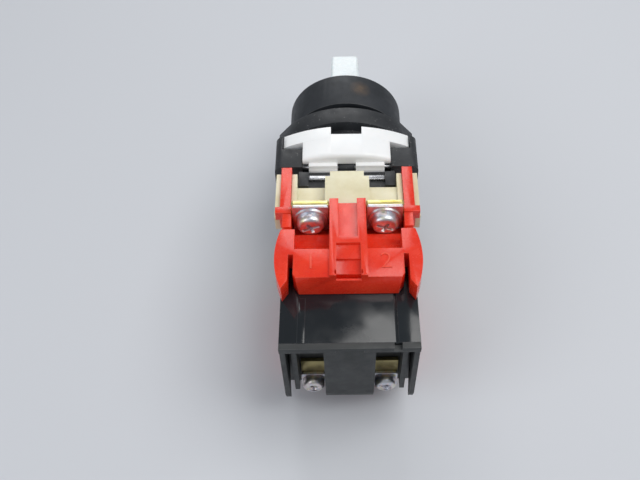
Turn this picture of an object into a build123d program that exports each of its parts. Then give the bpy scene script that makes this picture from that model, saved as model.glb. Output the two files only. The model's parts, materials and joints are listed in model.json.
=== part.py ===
"""Illuminated selector switch for a 22.3 mm panel hole, with two contact blocks and a transformer.

Millimetres. The switch axis runs along Y: the handle faces -Y, the rear terminals face +Y, +Z is up.
The origin is on the axis, in the back face of the bezel, which seats on the panel.
Sections across the axis are sketched at their rear station and extruded forward.
"""
from build123d import *
import os
from math import sqrt

os.makedirs("parts", exist_ok=True)

# ---- Driving dimensions ----------------------------------------------------------------
running_gap = 0.08       # radial play of a turning or sliding fit
seat_gap = 0.05          # play of pieces that are assembled and stay put
free_gap = 0.3           # room between pieces that pass each other

# Operator: bezel, neck and rotor
bezel_d, bezel_h = 31.0, 11.5
neck_d, neck_len = 22.0, 13.0
recess_depth = 3.8
click_race_depth = 3.2
rotor_d = 17.1
cam_reach_y = 5.5        # from the end of the neck to the face cam on the axis
cam_slope = 0.432        # rise of the face cam across the rotor
turn_angle = 45.0        # handle travel each way
gasket_d, gasket_t, gasket_proud = 27.2, 0.9, 0.3
nut_d, nut_t, nut_y = 28.0, 3.0, 1.9

# Handle
handle_disc_t = 2.0
handle_w, handle_tip_y, handle_taper = 8.5, 24.4, 2.5
handle_corner, handle_swing_gap = 1.2, 0.15
skirt_len, skirt_wall = 3.7, 1.1

# Mounting adaptor
adaptor_w, adaptor_h, adaptor_front = 36.0, 27.0, 1.5
hoop_rise, hoop_half_w, hoop_shoulder, hoop_cheek = 15.4, 14.0, 10.4, 5.5
hoop_len, cheek_len, blocks_len, frame_len = 5.3, 3.2, 10.5, 5.9
frame_w, frame_h = 23.8, 24.0
frame_opening_w, frame_opening_h = 18.8, 20.8
sleeve_wall = 1.25       # tube of the adaptor round the neck
bay_floor, pocket_floor, cheek_wall = 9.0, 8.7, 1.75
pin_half_len = 12.7

# Locking lever
lever_w, lever_top, lever_end_top = 22.0, 16.2, 12.5
lever_wing_len, lever_t = 3.9, 3.2
notch_w, notch_depth = 7.8, 2.5
pivot_z, pivot_d, boss_d = 11.3, 1.6, 2.8
foot_d, foot_outer = 4.4, 9.45

# Contact blocks: base
base_top, base_len, base_bevel, base_arm_len, base_arm_top = 14.2, 11.1, 1.8, 2.2, 15.0
arm_w, arm_wall_in, arm_wall_out, channel_floor_z, channel_floor_t = 2.5, 1.3, 1.25, 10.5, 1.0
cavity_w, cavity_top, cavity_wall_front, cavity_wall_rear = 21.0, 13.2, 1.8, 1.1
tongue_w, tongue_wide, tongue_reach, tongue_step, tongue_top = 8.1, 10.5, 0.9, 0.7, 17.5
# Contact blocks: terminals and screws
plate_t = 1.2
washer_w, washer_t = 8.2, 0.8
washer_boss_t = 0.6
screw_head_d, screw_head_t, screw_d, screw_len = 6.2, 2.3, 3.2, 4.8
leg_inner, leg_outer, strip_bottom, strip_top_z = 5.6, 8.8, 12.25, 13.05
finger_t, finger_bottom, rivet_d, rivet_t = 0.9, 9.9, 2.2, 0.25
# Contact blocks: cover
tower_w, groove_w, groove_depth, ridge_rise = 8.3, 4.2, 1.8, 0.8
pocket_w, pocket_depth, pocket_step_depth = 5.4, 1.1, 1.9
slot_w, slot_len, slot_depth = 6.2, 1.1, 4.4
panel_rise, scoop_rise, shelf_drop = 5.6, 1.1, 1.8
scoop_len, scoop_rise_len, panel_len, cover_slope_len = 5.1, 7.3, 7.5, 0.8
neck_side, neck_top, step_side, step_top, step_bottom, step_len = 2.0, 18.5, 3.7, 19.0, 16.3, 1.7
arm_top, arm_lead = 16.0, 1.3
petal_front_gap, petal_len = 1.8, 15.6
core_out_w, core_out_len, core_out_wall = 6.4, 5.6, 1.4
# Contact blocks: moving contacts
nose_z, nose_w, nose_t, nose_play = 7.2, 1.6, 1.2, 0.3
plunger_w, plunger_bottom, plunger_top, plunger_tail = 4.0, 6.4, 9.6, 7.6
bridge_t, bridge_z, bridge_h, bridge_overhang, bridge_slot = 0.6, 11.0, 1.8, 1.4, 0.12
contact_gap, contact_d = 2.25, 1.7
spring_wire, spring_d, spring_z, spring_turns = 0.3, 1.9, 8.0, 12

# Lamp and carrier
socket_d, socket_wall, socket_lead = 10.0, 0.35, 2.0
lamp_base_len, bulb_len = 11.0, 10.0
carrier_w = 29.5

# Transformer unit
case_w, case_h, case_wall = 29.9, 27.6, 1.4
case_setback, case_len, roof_overhang, lip_len, lip_h = 5.9, 20.1, 6.7, 1.4, 1.8
roof_strip_x, roof_strip_w, roof_strip_t = 10.3, 1.6, 0.12
roof_groove_x, roof_groove_w, roof_groove_t = 10.0, 0.6, 0.4
bay_wall_t, spigot_len = 1.5, 2.0
lip_slot_w, lip_slot_h, lip_notch_w, lip_notch_h = 6.0, 1.8, 1.7, 2.2
barrier_w, barrier_bottom, barrier_setback, barrier_foot = 11.2, -13.6, 0.8, 1.6
rib_x, rib_t, rib_setback, rib_bottom = 11.5, 1.1, 1.6, -8.4
wing_t, wing_bottom, wing_setback, wing_root = 1.15, -12.8, 0.6, -5.0
rear_x, rear_z = 8.5, -10.2
rear_plate_w, rear_plate_t, rear_plate_bottom, rear_plate_top = 5.5, 1.0, -13.4, -2.4
rear_washer_w, rear_washer_t = 5.6, 0.8
rear_head_d, rear_head_t, rear_screw_d, rear_screw_len = 5.2, 2.2, 2.6, 3.3
core_w, core_h, core_len, leg_w = 24.0, 21.0, 12.0, 6.0

# ---- Derived dimensions ----------------------------------------------------------------
rotor_r = rotor_d / 2
bore_r = rotor_r + running_gap
rotor_bore_d = socket_d + 1.8
click_race_d = rotor_d + 4.3
recess_d = click_race_d + 3.0
handle_reach = recess_d / 2 - handle_swing_gap - handle_corner
handle_len = 2 * (handle_corner + sqrt(handle_reach**2 - (handle_w / 2 - handle_corner) ** 2))
skirt_d = rotor_d - 2.7
recess_floor = recess_depth - bezel_h
race_floor = recess_floor + click_race_depth
flange_front = recess_floor - 1.5
disc_front = flange_front - handle_disc_t
sleeve_bore_r = neck_d / 2 + 0.15
sleeve_r = sleeve_bore_r + sleeve_wall
clip_y = neck_len + 0.3
cam_y = neck_len + cam_reach_y
# Stations of the adaptor and its lever
hoop_rear = adaptor_front + hoop_len
block_front = hoop_rear + cheek_len
blocks_rear = block_front + blocks_len
frame_rear = blocks_rear + frame_len
lever_span = adaptor_w - 2 * cheek_wall - 2 * free_gap
lever_front, lever_rear = hoop_rear + 2.3, blocks_rear - 1.4
pivot_y = blocks_rear - 1.9
foot_inner = plunger_w / 2 + free_gap
web_bottom = pivot_z - pivot_d / 2
# Contact block: built from the adaptor's rear face backwards
base_front, base_arm_inner = frame_rear, frame_w / 2 + 0.15
base_rear = base_front + base_len
base_arm_front = base_front - base_arm_len
block_w = 2 * (base_arm_inner + arm_wall_in + arm_w + arm_wall_out)
cavity_front, cavity_rear = base_front + cavity_wall_front, base_rear - cavity_wall_rear
finger_front = cavity_front + 0.2
contact_x = (leg_inner + leg_outer) / 2
bridge_y = finger_front + finger_t + rivet_t + contact_gap + 0.1
bridge_w = 2 * (contact_x + bridge_overhang)
plunger_front, plunger_rear = cam_y + 3.3, base_front + plunger_tail
riser_front, riser_top = bridge_y - 0.9, bridge_z + 1.0
spring_front = base_front - 1.4
terminal_x = tower_w / 2 + 0.25 + washer_w / 2
terminal_z = base_top - shelf_drop + 0.5 + washer_w / 2
plate_w, plate_top = washer_w + 0.4, terminal_z + washer_w / 2 - 0.1
terminal_y = base_rear + 0.1
tower_front = base_rear - 1.3
arm_front = base_arm_front - arm_lead
wall_x = terminal_x + washer_w / 2 + free_gap
body_w = 2 * (wall_x - 0.85)
neck_x, step_x = wall_x + neck_side, wall_x + step_side
# Lamp
lamp_base_d = socket_d - 1.0
bulb_d = lamp_base_d - 0.2
socket_front = neck_len + socket_lead
lamp_base_front = socket_front - 1.0
lamp_base_rear = lamp_base_front + lamp_base_len
bulb_tip = lamp_base_front - bulb_len
carrier_h = socket_d + 1.5
base_bottom = carrier_h / 2 + 0.25
# Transformer unit
case_top = case_h / 2
case_front = base_rear + case_setback
case_side_rear = case_front + case_len
case_rear = case_side_rear + roof_overhang
lip_rear = case_rear + lip_len
bay_wall_rear = case_side_rear + bay_wall_t
wing_inner_x = case_w / 2 - wing_t
# Cover: rests on the case
case_gap = case_top + 0.15
cover_top = case_top + panel_rise
ridge_top = cover_top + ridge_rise
scoop_z, shelf_z = case_top + scoop_rise, base_top - shelf_drop
scoop_y = base_rear + scoop_len
panel_front = scoop_y + scoop_rise_len
panel_rear = panel_front + panel_len
cover_rear = panel_rear + cover_slope_len
groove_rear = panel_front - 2.7
pocket_front = groove_rear + 1.6
pocket_step = pocket_front + 3.6
petal_front = scoop_y + petal_front_gap


def station(y):
    """Plane across the switch axis at y; its sketch x is X, its sketch y is Z, extrusion runs forward."""
    return Plane.XZ.offset(-y)


def save(shape, name):
    """Label a finished piece and write it as the node of that name."""
    shape.label = name
    export_step(shape, f"parts/{name}.step")


def arched_outline(half_w, rise, shoulder_x, shoulder_z, cheek_z):
    """Edges of a closed outline with an arched top and bottom."""
    with BuildLine() as outline:
        ThreePointArc((-shoulder_x, shoulder_z), (0, rise), (shoulder_x, shoulder_z))
        Polyline((shoulder_x, shoulder_z), (half_w, cheek_z), (half_w, -cheek_z), (shoulder_x, -shoulder_z))
        ThreePointArc((shoulder_x, -shoulder_z), (0, -rise), (-shoulder_x, -shoulder_z))
        Polyline(
            (-shoulder_x, -shoulder_z), (-half_w, -cheek_z), (-half_w, cheek_z), (-shoulder_x, shoulder_z)
        )
    return outline.line.edges()


# ---- Operator: bezel and neck in one moulding ------------------------------------------
thread_pitch = 1.5
with BuildPart() as operator_body:
    with BuildSketch(station(0)):
        Circle(bezel_d / 2)
    extrude(amount=bezel_h)
    fillet(operator_body.edges().group_by(Axis.Y)[0], radius=0.9)
    with BuildSketch(station(neck_len)):
        Circle(neck_d / 2)
    extrude(amount=neck_len + 1)
    with BuildSketch(station(recess_floor)):
        Circle(recess_d / 2)
    extrude(amount=recess_depth, mode=Mode.SUBTRACT)
    with BuildSketch(station(race_floor)):
        Circle(click_race_d / 2)
    extrude(amount=click_race_depth, mode=Mode.SUBTRACT)
    # Click notches in the race, one pair for each handle position
    with BuildSketch(station(race_floor)):
        with PolarLocations(click_race_d / 2, 3, -turn_angle, 2 * turn_angle, endpoint=True):
            Circle(0.9)
        with PolarLocations(click_race_d / 2, 3, 180 - turn_angle, 2 * turn_angle, endpoint=True):
            Circle(0.9)
    extrude(amount=click_race_depth, mode=Mode.SUBTRACT)
    with BuildSketch(station(neck_len)):
        Circle(bore_r)
    extrude(amount=neck_len + bezel_h, mode=Mode.SUBTRACT)
    # Gasket seat in the back face
    with BuildSketch(station(0)):
        Circle(gasket_d / 2 + seat_gap)
        Circle(neck_d / 2, mode=Mode.SUBTRACT)
    extrude(amount=gasket_t - gasket_proud, mode=Mode.SUBTRACT)
    # Thread grooves on the neck
    for turn in range(6):
        with BuildSketch(station(2.0 + turn * thread_pitch)):
            Circle(neck_d / 2 + 1)
            Circle(neck_d / 2 - 0.45, mode=Mode.SUBTRACT)
        extrude(amount=0.5, mode=Mode.SUBTRACT)
save(operator_body.part, "operator_body")

with BuildPart() as panel_gasket:
    with BuildSketch(station(gasket_proud)):
        Circle(gasket_d / 2)
        Circle(neck_d / 2 + seat_gap, mode=Mode.SUBTRACT)
    extrude(amount=gasket_t)
save(panel_gasket.part, "panel_gasket")

with BuildPart() as ring_nut:
    with BuildSketch(station(nut_y + nut_t)):
        Circle(nut_d / 2)
        Circle(neck_d / 2 + seat_gap, mode=Mode.SUBTRACT)
        with PolarLocations(nut_d / 2, 12):
            SlotOverall(2.6, 1.6, rotation=90, mode=Mode.SUBTRACT)
    extrude(amount=nut_t)
save(ring_nut.part, "ring_nut")

# ---- Rotor: carries the handle and ends in an oblique face cam --------------------------
seal_y = -1.9
seal_groove_w, seal_groove_depth = 1.5, 0.47 * (rotor_r - rotor_bore_d / 2)
seal_wire_d = seal_groove_depth
cam_reach = cam_slope * rotor_r
clip_groove_w, clip_groove_depth = 0.7, 0.65
key_w, key_depth = 1.2, 1.0
peg_x, peg_d = 9.3, 1.8
with BuildPart() as knob_rotor:
    with BuildSketch(station(cam_y + cam_reach + 1)):
        Circle(rotor_r)
    extrude(amount=cam_y + cam_reach + 1 - flange_front)
    with BuildSketch(station(recess_floor - seat_gap)):
        Circle(recess_d / 2 - 1.3)
    extrude(amount=recess_floor - flange_front - seat_gap)
    with BuildSketch(station(cam_y + cam_reach + 1)):
        Circle(rotor_bore_d / 2)
    extrude(amount=cam_y + cam_reach + 1 - flange_front, mode=Mode.SUBTRACT)
    with BuildSketch(station(flange_front + skirt_len)):
        Circle(skirt_d / 2 + seat_gap)
    extrude(amount=skirt_len, mode=Mode.SUBTRACT)
    with BuildSketch(station(recess_floor)):
        with Locations((-peg_x, 0), (peg_x, 0)):
            Circle(peg_d / 2 + seat_gap)
    extrude(amount=recess_floor - flange_front + 1, mode=Mode.SUBTRACT)
    for ring_rear, ring_w, ring_depth in (
        (seal_y + seal_groove_w / 2, seal_groove_w, seal_groove_depth),
        (clip_y + clip_groove_w, clip_groove_w, clip_groove_depth),
    ):
        with BuildSketch(station(ring_rear)):
            Circle(rotor_r + 1)
            Circle(rotor_r - ring_depth, mode=Mode.SUBTRACT)
        extrude(amount=ring_w, mode=Mode.SUBTRACT)
    # Key slot of the click spring
    with BuildSketch(station(race_floor - 0.3)):
        with Locations((0, rotor_r)):
            Rectangle(key_w, 2 * key_depth)
    extrude(amount=click_race_depth - 0.6, mode=Mode.SUBTRACT)
    # Oblique rear face: the cam that moves both plungers
    with BuildSketch(Plane.XY.offset(-rotor_r - 1)):
        with BuildLine():
            far_x = rotor_r + 1
            Polyline(
                (-far_x, cam_y + cam_slope * far_x), (far_x, cam_y - cam_slope * far_x),
                (far_x, cam_y + cam_reach + 6), (-far_x, cam_y + cam_reach + 6),
                (-far_x, cam_y + cam_slope * far_x),
            )
        make_face()
    extrude(amount=2 * rotor_r + 2, mode=Mode.SUBTRACT)
save(knob_rotor.part, "knob_rotor")

with BuildPart() as rotor_seal:
    with BuildSketch(Plane.XY):
        with Locations((bore_r - seal_wire_d / 2 - 0.03, seal_y)):
            Circle(seal_wire_d / 2)
    revolve(axis=Axis.Y)
save(rotor_seal.part, "rotor_seal")

click_r, click_t = rotor_r + seat_gap, 0.5
with BuildPart() as click_spring:
    with BuildSketch(station(race_floor - 0.4)):
        Circle(click_r + click_t)
        with Locations((-click_r, 0), (click_r, 0)):
            Circle(1.3)
        Circle(click_r, mode=Mode.SUBTRACT)
        with Locations((0, -rotor_r)):
            Rectangle(8, 6, mode=Mode.SUBTRACT)
        with Locations((0, click_r - 0.2)):
            Rectangle(key_w - 2 * seat_gap, 1.0)
    extrude(amount=click_race_depth - 0.8)
save(click_spring.part, "click_spring")

with BuildPart() as rotor_clip:
    with BuildSketch(station(clip_y + clip_groove_w - seat_gap)):
        Circle(rotor_r + 1.5)
        Circle(rotor_r - clip_groove_depth + seat_gap, mode=Mode.SUBTRACT)
        with Locations((0, -rotor_r)):
            Rectangle(9, 7, mode=Mode.SUBTRACT)
    extrude(amount=clip_groove_w - 2 * seat_gap)
save(rotor_clip.part, "rotor_clip")

with BuildPart() as handle:
    with BuildSketch(station(flange_front - seat_gap)):
        Circle(recess_d / 2 - free_gap)
    extrude(amount=handle_disc_t)
    with BuildSketch(station(disc_front)):
        RectangleRounded(handle_w, handle_len, handle_corner)
    extrude(amount=handle_tip_y + disc_front, taper=handle_taper)
    fillet(handle.edges().group_by(Axis.Y)[0], radius=0.55)
    with BuildSketch(station(flange_front + skirt_len - seat_gap)):
        Circle(skirt_d / 2)
    extrude(amount=skirt_len + 0.5)
    with BuildSketch(station(flange_front + 1.1)):
        with Locations((-peg_x, 0), (peg_x, 0)):
            Circle(peg_d / 2)
    extrude(amount=1.5)
    # Light well: round behind the disc, narrow inside the blade
    with BuildSketch(station(flange_front + skirt_len)):
        Circle(skirt_d / 2 - skirt_wall)
    extrude(amount=skirt_len + 0.8, mode=Mode.SUBTRACT)
    with BuildSketch(station(flange_front)):
        RectangleRounded(handle_w - 2.9, 2 * (skirt_d / 2 - skirt_wall) - 1.0, 0.8)
    extrude(amount=handle_tip_y + flange_front - 1.8, mode=Mode.SUBTRACT)
save(handle.part, "handle")

# ---- Mounting adaptor -------------------------------------------------------------------
lever_side = lever_w / 2 + 0.15
wing_rear = lever_front + lever_wing_len
strip_w, strip_t = 1.3, 0.6
strip_y = frame_rear - 3.15
corner_front = strip_y - 1.35
bay_rear = pivot_y + foot_d / 2 + free_gap
strip_len = frame_opening_w + 1.6
with BuildPart() as adaptor_housing:
    with BuildSketch(station(block_front)):
        make_face(arched_outline(adaptor_w / 2, hoop_rise, hoop_half_w, hoop_shoulder, hoop_cheek))
    extrude(amount=block_front - adaptor_front)
    with BuildSketch(station(blocks_rear)):
        RectangleRounded(adaptor_w, adaptor_h, 2.0)
    extrude(amount=blocks_rear - block_front)
    with BuildSketch(station(frame_rear)):
        Rectangle(frame_w, frame_h)
    extrude(amount=frame_rear - blocks_rear)
    # Corner blocks that hold the steel strip
    with BuildSketch(station(frame_rear)):
        for side in (-1, 1):
            with Locations((side * (frame_w + frame_opening_w) / 4, frame_h / 2)):
                Rectangle((frame_w - frame_opening_w) / 2, 2.4)
    extrude(amount=frame_rear - corner_front)
    # Bay of the lever, and the pockets of its wings
    with BuildSketch(station(bay_rear)):
        with Locations((0, bay_floor + 5)):
            Rectangle(2 * lever_side, 10)
    extrude(amount=bay_rear - hoop_rear, mode=Mode.SUBTRACT)
    with BuildSketch(station(wing_rear + 0.4)):
        with Locations((0, pocket_floor + 5)):
            Rectangle(lever_span + 2 * free_gap, 10)
    extrude(amount=wing_rear + 0.4 - hoop_rear, mode=Mode.SUBTRACT)
    chamfer(
        adaptor_housing.edges().filter_by(Axis.X).filter_by(
            lambda e: abs(e.center().Y - wing_rear - 0.4) < 0.1 and e.center().Z > adaptor_h / 2 - 0.5
        ),
        length=0.9,
    )
    # Sleeve round the neck, with its three ribs
    with BuildSketch(station(neck_len + 1)):
        Circle(sleeve_r)
    extrude(amount=neck_len + 1 - hoop_rear)
    for rib_y in (9.0, 10.6, 12.2):
        with BuildSketch(station(rib_y)):
            Circle(sleeve_r + 0.25)
        extrude(amount=0.7)
    with BuildSketch(station(neck_len + 1)):
        Circle(sleeve_bore_r)
    extrude(amount=neck_len + 1 - adaptor_front, mode=Mode.SUBTRACT)
    with BuildSketch(station(nut_y + nut_t + free_gap)):
        Circle(nut_d / 2 + free_gap)
    extrude(amount=nut_y + nut_t + free_gap - adaptor_front, mode=Mode.SUBTRACT)
    # Passage for the rotor, plungers and lamp
    with BuildSketch(station(frame_rear)):
        Rectangle(frame_opening_w, frame_opening_h)
    extrude(amount=frame_rear - neck_len - 1, mode=Mode.SUBTRACT)
    # Boss between the feet of the lever, held by a web from the sleeve
    with BuildSketch(Plane.YZ):
        with Locations((pivot_y, pivot_z)):
            Circle(boss_d / 2)
        with Locations(((neck_len + pivot_y) / 2, (web_bottom + sleeve_r) / 2)):
            Rectangle(pivot_y - neck_len, sleeve_r - web_bottom)
    extrude(amount=foot_inner - free_gap, both=True)
    # Cross holes: lever pin and steel strip
    with BuildSketch(Plane.YZ):
        with Locations((pivot_y, pivot_z)):
            Circle(pivot_d / 2 + 0.02)
    extrude(amount=pin_half_len + 0.2, both=True, mode=Mode.SUBTRACT)
    with BuildSketch(Plane.YZ):
        with Locations((strip_y, frame_h / 2 + strip_t / 2)):
            Rectangle(strip_w + 2 * seat_gap, strip_t + 2 * seat_gap)
    extrude(amount=strip_len / 2 + seat_gap, both=True, mode=Mode.SUBTRACT)
save(adaptor_housing.part, "adaptor_housing")

with BuildPart() as lever_strip:
    with BuildSketch(Plane.YZ):
        with Locations((strip_y, frame_h / 2 + strip_t / 2)):
            Rectangle(strip_w, strip_t)
    extrude(amount=strip_len / 2, both=True)
save(lever_strip.part, "lever_strip")

with BuildPart() as lever_pin:
    with BuildSketch(Plane.YZ):
        with Locations((pivot_y, pivot_z)):
            Circle(pivot_d / 2)
    extrude(amount=pin_half_len, both=True)
save(lever_pin.part, "lever_pin")

lever_bottom = sleeve_r + 0.25 + 0.3
with BuildPart() as locking_lever:
    # Arched band over the whole span: body and both wings
    with BuildSketch(station(wing_rear)):
        with BuildLine():
            top = ThreePointArc(
                (-lever_span / 2, lever_end_top), (0, lever_top), (lever_span / 2, lever_end_top)
            )
            Polyline(top @ 1, (lever_span / 2, lever_end_top - lever_t), (lever_w / 2, lever_end_top - 2.2))
            ThreePointArc(
                (lever_w / 2, lever_end_top - 2.2), (0, lever_bottom), (-lever_w / 2, lever_end_top - 2.2)
            )
            Polyline((-lever_w / 2, lever_end_top - 2.2), (-lever_span / 2, lever_end_top - lever_t), top @ 0)
        make_face()
    extrude(amount=lever_wing_len)
    with BuildSketch(station(lever_rear)):
        with BuildLine():
            shoulder_z = lever_top - (lever_w / lever_span) ** 2 * (lever_top - lever_end_top)
            back = ThreePointArc((-lever_w / 2, shoulder_z), (0, lever_top), (lever_w / 2, shoulder_z))
            Polyline(back @ 1, (lever_w / 2, 13.0), (-lever_w / 2, 13.0), back @ 0)
        make_face()
    extrude(amount=lever_rear - wing_rear)
    fillet(
        locking_lever.edges().filter_by(lambda e: e.center().Y > lever_rear - 0.01 and e.center().Z > 13.8
                                        and abs(e.center().X) < 1),
        radius=1.2,
    )
    # Thumb notch and the slightly sunk centre panel
    with BuildSketch(station(lever_front + notch_depth)):
        with Locations((0, lever_top)):
            Rectangle(notch_w, 12)
    extrude(amount=notch_depth, mode=Mode.SUBTRACT)
    with BuildSketch(station(lever_rear + 0.1)):
        with Locations((0, lever_top)):
            Rectangle(notch_w, 0.5)
    extrude(amount=lever_rear - lever_front, mode=Mode.SUBTRACT)
    # Two round feet on the pivot pin
    for side in (-1, 1):
        with BuildSketch(Plane.YZ.offset(side * (foot_inner + foot_outer) / 2)):
            with Locations((pivot_y, pivot_z)):
                Circle(foot_d / 2)
            with Locations((pivot_y, pivot_z + 1.1)):
                Rectangle(foot_d - 1.0, 2.2)
        extrude(amount=(foot_outer - foot_inner) / 2, both=True)
    with BuildSketch(Plane.YZ):
        with Locations((pivot_y, pivot_z)):
            Circle(pivot_d / 2 + running_gap)
    extrude(amount=lever_w, both=True, mode=Mode.SUBTRACT)
save(locking_lever.part, "locking_lever")

# ---- Carrier and lamp -------------------------------------------------------------------
with BuildPart() as lamp_carrier:
    with BuildSketch(station(case_front)):
        RectangleRounded(carrier_w, carrier_h, 0.8)
    extrude(amount=case_front - frame_rear)
    with BuildSketch(station(case_front)):
        Circle(socket_d / 2 + seat_gap)
        # Cored sides, open to the front where the adaptor closes them
        for side in (-1, 1):
            with Locations((side * (socket_d / 2 + 1.2 + carrier_w / 2 - 1.2) / 2, 0)):
                Rectangle(carrier_w / 2 - socket_d / 2 - 2.4, carrier_h - 2.4)
    extrude(amount=case_front - frame_rear, mode=Mode.SUBTRACT)
save(lamp_carrier.part, "lamp_carrier")

socket_rear = case_front + case_wall + 0.4
with BuildPart() as lamp_socket:
    with BuildSketch(station(socket_rear)):
        Circle(socket_d / 2)
    extrude(amount=socket_rear - socket_front)
    with BuildSketch(station(socket_rear - 1.5)):
        Circle(socket_d / 2 - socket_wall)
    extrude(amount=socket_rear - socket_front, mode=Mode.SUBTRACT)
    # Bayonet slots for the two pins of the lamp
    with BuildSketch(Plane.YZ):
        with Locations((socket_front + 2.5, 0)):
            Rectangle(7.0, 2.2)
        with Locations((socket_front + 5.0, -1.2)):
            Rectangle(2.2, 4.2)
    extrude(amount=socket_d, both=True, mode=Mode.SUBTRACT)
save(lamp_socket.part, "lamp_socket")

lamp_base_r = lamp_base_d / 2
with BuildPart() as lamp_base:
    with BuildSketch(station(lamp_base_rear)):
        Circle(lamp_base_r)
    extrude(amount=lamp_base_rear - lamp_base_front)
    fillet(lamp_base.edges().group_by(Axis.Y)[-1], radius=1.2)
    with BuildSketch(station(lamp_base_rear + 1.2)):
        Circle(1.7)
    extrude(amount=1.2)
    with BuildSketch(Plane.YZ):
        with Locations((socket_front + 5.0, -1.6)):
            Circle(0.8)
    extrude(amount=lamp_base_r + 0.35, both=True)
save(lamp_base.part, "lamp_base")

with BuildPart() as lamp_bulb:
    bulb_r = bulb_d / 2
    with BuildSketch(Plane.XY):
        with BuildLine():
            Polyline(
                (0, bulb_tip), (0, lamp_base_front), (bulb_r, lamp_base_front), (bulb_r, bulb_tip + bulb_r)
            )
            RadiusArc((bulb_r, bulb_tip + bulb_r), (0, bulb_tip), bulb_r)
        make_face()
    revolve(axis=Axis.Y)
save(lamp_bulb.part, "lamp_bulb")


def coil(wire_d, outer_d, front_y, rear_y, turns, z):
    """Compression spring, a helix along Y above the switch axis by z."""
    pitch = (rear_y - front_y - wire_d) / turns
    with BuildPart() as spring:
        with BuildLine() as path:
            Helix(
                pitch, pitch * turns, (outer_d - wire_d) / 2,
                center=(0, front_y + wire_d / 2, z), direction=(0, 1, 0),
            )
        with BuildSketch(Plane(origin=path.line @ 0, z_dir=path.line % 0)):
            Circle(wire_d / 2)
        sweep(path=path.line)
    return spring.part


centre_contact_rear = socket_rear - 1.5
with BuildPart() as centre_contact:
    with BuildSketch(station(lamp_base_rear + 2.6)):
        Circle(2.4)
    extrude(amount=1.4)
    with BuildSketch(station(centre_contact_rear - 6)):
        Circle(1.2)
    extrude(amount=centre_contact_rear - 6 - lamp_base_rear - 2.6)
save(centre_contact.part, "centre_contact")

save(
    coil(0.5, 4.6, lamp_base_rear + 2.6 + seat_gap, centre_contact_rear - seat_gap, 8, 0),
    "centre_contact_spring",
)

# ---- Upper contact block ----------------------------------------------------------------
arm_x = base_arm_inner + arm_wall_in + arm_w / 2
tongue_front, tongue_wide_y = frame_rear - tongue_reach, frame_rear + tongue_step
with BuildPart() as contact_base:
    with BuildSketch(station(base_rear)):
        with Locations((0, (base_bottom + base_top) / 2)):
            Rectangle(block_w, base_top - base_bottom)
    extrude(amount=base_rear - base_front)
    # Bevelled front edge behind the adaptor's frame
    with BuildSketch(Plane.YZ):
        with BuildLine():
            Polyline(
                (base_front - 1, base_top - base_bevel), (base_front, base_top - base_bevel),
                (base_front + 0.9 * base_bevel, base_top), (base_front + 0.9 * base_bevel, base_top + 1),
                (base_front - 1, base_top + 1), (base_front - 1, base_top - base_bevel),
            )
        make_face()
    extrude(amount=block_w / 2 + 1, both=True, mode=Mode.SUBTRACT)
    # Side arms that reach forward along the adaptor
    for side in (-1, 1):
        with BuildSketch(station(base_rear)):
            with Locations((side * (base_arm_inner + block_w / 2) / 2, (base_bottom + base_arm_top) / 2)):
                Rectangle(block_w / 2 - base_arm_inner, base_arm_top - base_bottom)
        extrude(amount=base_rear - base_arm_front)
        # Channel for the arm of the cover
        with BuildSketch(station(base_rear)):
            with Locations((side * arm_x, (base_bottom + base_arm_top) / 2)):
                Rectangle(arm_w + 2 * seat_gap, base_arm_top)
        extrude(amount=base_rear - base_arm_front, mode=Mode.SUBTRACT)
        # Outer wall, tied to the body by the floor of the channel
        outer_inner_x = base_arm_inner + arm_wall_in
        with BuildSketch(station(base_rear)):
            with Locations((side * (base_arm_inner + block_w / 2) / 2, channel_floor_z + channel_floor_t / 2)):
                Rectangle(block_w / 2 - base_arm_inner, channel_floor_t)
        extrude(amount=base_rear - base_front)
        with BuildSketch(station(base_rear)):
            with Locations((side * (outer_inner_x + block_w / 2 + 1) / 2, (base_bottom - 1 + channel_floor_z) / 2)):
                Rectangle(block_w / 2 + 1 - outer_inner_x, channel_floor_z - base_bottom + 1)
        extrude(amount=base_rear - base_arm_front, mode=Mode.SUBTRACT)
    # Hooked tongue over the adaptor
    with BuildSketch(Plane.XY.offset(base_top)):
        with BuildLine():
            narrow, wide, tongue_rear = tongue_w / 2, tongue_wide / 2, tower_front - seat_gap
            Polyline(
                (-narrow, tongue_front), (narrow, tongue_front), (narrow, tongue_wide_y),
                (wide, tongue_wide_y), (wide, tongue_rear), (-wide, tongue_rear),
                (-wide, tongue_wide_y), (-narrow, tongue_wide_y), (-narrow, tongue_front),
            )
        make_face()
    extrude(amount=tongue_top - base_top)
    with BuildSketch(Plane.XY.offset(frame_h / 2 + 0.1)):
        with Locations((0, (tongue_front + base_front + base_bevel) / 2)):
            Rectangle(tongue_w, base_front + base_bevel - tongue_front)
    extrude(amount=base_top - frame_h / 2 - 0.1)
    # Contact cavity, open below towards the carrier
    with BuildSketch(station(cavity_rear)):
        with Locations((0, (base_bottom - 0.1 + cavity_top) / 2)):
            Rectangle(cavity_w, cavity_top - base_bottom + 0.1)
    extrude(amount=cavity_rear - cavity_front, mode=Mode.SUBTRACT)
    # Guide slot of the plunger in the front wall
    with BuildSketch(station(cavity_front)):
        with Locations((0, (plunger_top + base_bottom) / 2)):
            Rectangle(plunger_w + 0.2, plunger_top - base_bottom + 0.2)
    extrude(amount=cavity_front - base_front, mode=Mode.SUBTRACT)
    # Slots of both terminal legs in the rear wall
    with BuildSketch(station(base_rear)):
        for side in (-1, 1):
            with Locations((side * (leg_inner + leg_outer) / 2, (strip_bottom + strip_top_z) / 2)):
                Rectangle(leg_outer - leg_inner + 0.2, strip_top_z - strip_bottom + 0.1)
    extrude(amount=base_rear - cavity_rear + 0.1, mode=Mode.SUBTRACT)


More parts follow.
